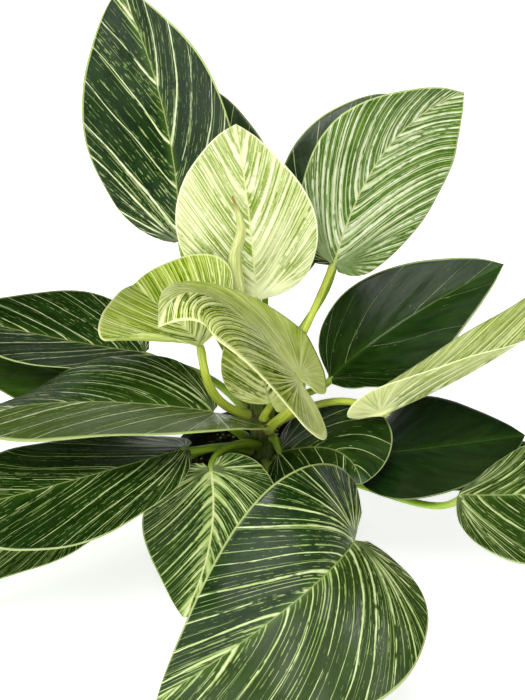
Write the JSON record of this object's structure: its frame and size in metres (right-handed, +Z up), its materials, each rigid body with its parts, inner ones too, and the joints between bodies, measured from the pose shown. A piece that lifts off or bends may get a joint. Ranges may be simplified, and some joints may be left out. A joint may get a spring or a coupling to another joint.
{
  "type": "potted foliage plant",
  "caption": "Potted philodendron with striped heart-shaped leaves on stalks round a short stem, standing in soil in a plain round pot.",
  "frame": {"origin": "centre of the pot's flat underside", "axes": "+Z up, -Y the front, where the largest low leaf hangs over the rim"},
  "size_m": [0.4631, 0.4096, 0.3901],
  "materials": {
    "pot": "plain dark grey moulded plastic",
    "soil": "crumbly peat and bark potting mix",
    "stem": "smooth green skin with pale rings",
    "leaf_green": "waxy dark green with cream pinstripes",
    "leaf_pale": "waxy cream with green streaks",
    "sheath": "dry papery"
  },
  "bodies": {
    "root": {"pot": "pot", "soil": "soil", "stem": "stem", "leaf_tall_left": "leaf_green", "leaf_centre_pale": "leaf_pale", "leaf_tall_right": "leaf_pale", "leaf_rear_right": "leaf_green", "leaf_rear_centre": "leaf_green", "leaf_young_left": "leaf_pale", "leaf_young_arched": "leaf_pale", "leaf_young_inner": "leaf_pale", "leaf_left_upper": "leaf_green", "leaf_left_rear": "leaf_green", "leaf_left_middle": "leaf_green", "leaf_left_lower": "leaf_green", "leaf_left_lowest": "leaf_green", "leaf_front_left": "leaf_green", "leaf_front_right": "leaf_green", "leaf_right_glossy": "leaf_green", "leaf_front_large": "leaf_green", "leaf_right_pale": "leaf_pale", "leaf_right_dark": "leaf_green", "leaf_right_lower": "leaf_green", "leaf_right_rear": "leaf_green", "leaf_back_left": "leaf_green", "leaf_back_low": "leaf_green", "leaf_new_rolled": "leaf_pale", "sheath_dry": "sheath", "sheath_pink": "sheath"}
  },
  "joints": []
}
